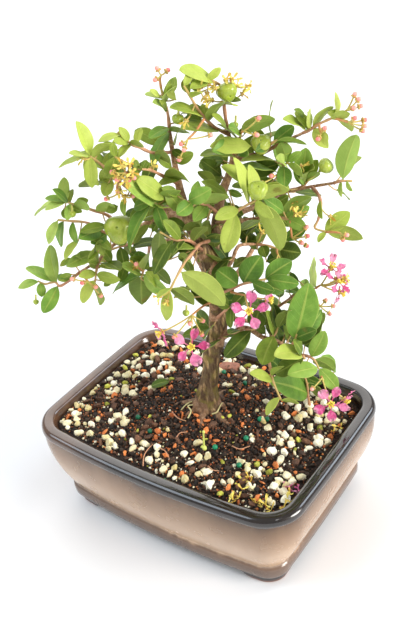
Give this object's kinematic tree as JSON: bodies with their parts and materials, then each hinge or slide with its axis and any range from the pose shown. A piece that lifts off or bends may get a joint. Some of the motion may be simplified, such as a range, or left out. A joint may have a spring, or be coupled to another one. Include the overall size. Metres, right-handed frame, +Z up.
{
  "type": "potted bonsai tree",
  "caption": "Small cherry bonsai with an upright forking trunk, leafy shoots, clawed pink flowers and green fruits, in a footed rectangular glazed pot.",
  "frame": {"origin": "on the surface the pot stands on, under the middle of the pot", "axes": "+X along the pot's long side, +Y along its short side, +Z up"},
  "size_m": [0.2, 0.1472, 0.2971],
  "materials": {
    "glaze": "glossy",
    "soil_mix": "rough",
    "bark": "rough",
    "bark_chip": "rough",
    "screen_plastic": "matte",
    "leaf_green": "satin",
    "leaf_bright": "satin",
    "leaf_dark": "satin",
    "petal_pink": "matte",
    "fruit_green": "glossy"
  },
  "bodies": {
    "root": {"bark_chip": "bark_chip", "drain_screen_1": "screen_plastic", "drain_screen_2": "screen_plastic", "flowers_front": "petal_pink", "flowers_hanging_pair": "petal_pink", "flowers_low_right": "petal_pink", "flowers_middle": "petal_pink", "flowers_right_buds": "petal_pink", "flowers_right_open": "petal_pink", "flowers_right_row": "petal_pink", "flowers_upper_high": "petal_pink", "flowers_upper_low": "petal_pink", "flowers_upper_pair": "petal_pink", "fruit_left": "fruit_green", "fruit_middle": "fruit_green", "fruit_right": "fruit_green", "fruit_top": "fruit_green", "fruit_upper": "fruit_green", "pot": "glaze", "shoot_arch_end": "leaf_dark", "shoot_back_left_end": "leaf_dark", "shoot_back_middle": "leaf_dark", "shoot_back_right_end": "leaf_dark", "shoot_big_upright": "leaf_green", "shoot_centre_blue": "leaf_green", "shoot_centre_dark": "leaf_dark", "shoot_centre_left": "leaf_green", "shoot_centre_top": "leaf_green", "shoot_far_left": "leaf_green", "shoot_far_upper_left": "leaf_bright", "shoot_front_drooping": "leaf_bright", "shoot_left_dark_end": "leaf_dark", "shoot_left_hanging": "leaf_green", "shoot_left_low": "leaf_bright", "shoot_left_middle": "leaf_green", "shoot_left_rosette": "leaf_green", "shoot_left_shade": "leaf_dark", "shoot_low_front": "leaf_bright", "shoot_low_left_dark": "leaf_dark", "shoot_low_middle": "leaf_dark", "shoot_low_pale": "leaf_bright", "shoot_low_right": "leaf_green", "shoot_low_upright_dark": "leaf_dark", "shoot_right_bright": "leaf_bright", "shoot_right_broad": "leaf_green", "shoot_right_centre_end": "leaf_green", "shoot_right_end": "leaf_green", "shoot_right_hanging": "leaf_bright", "shoot_right_inner": "leaf_green", "shoot_right_stub_end": "leaf_green", "shoot_right_upper_base": "leaf_green", "shoot_right_upper_middle": "leaf_green", "shoot_right_upper_tip": "leaf_bright", "shoot_sucker": "leaf_green", "shoot_top_leader": "leaf_bright", "shoot_top_left": "leaf_green", "shoot_top_middle": "leaf_dark", "shoot_upper_left": "leaf_bright", "soil": "soil_mix", "trunk": "bark"}
  },
  "joints": []
}
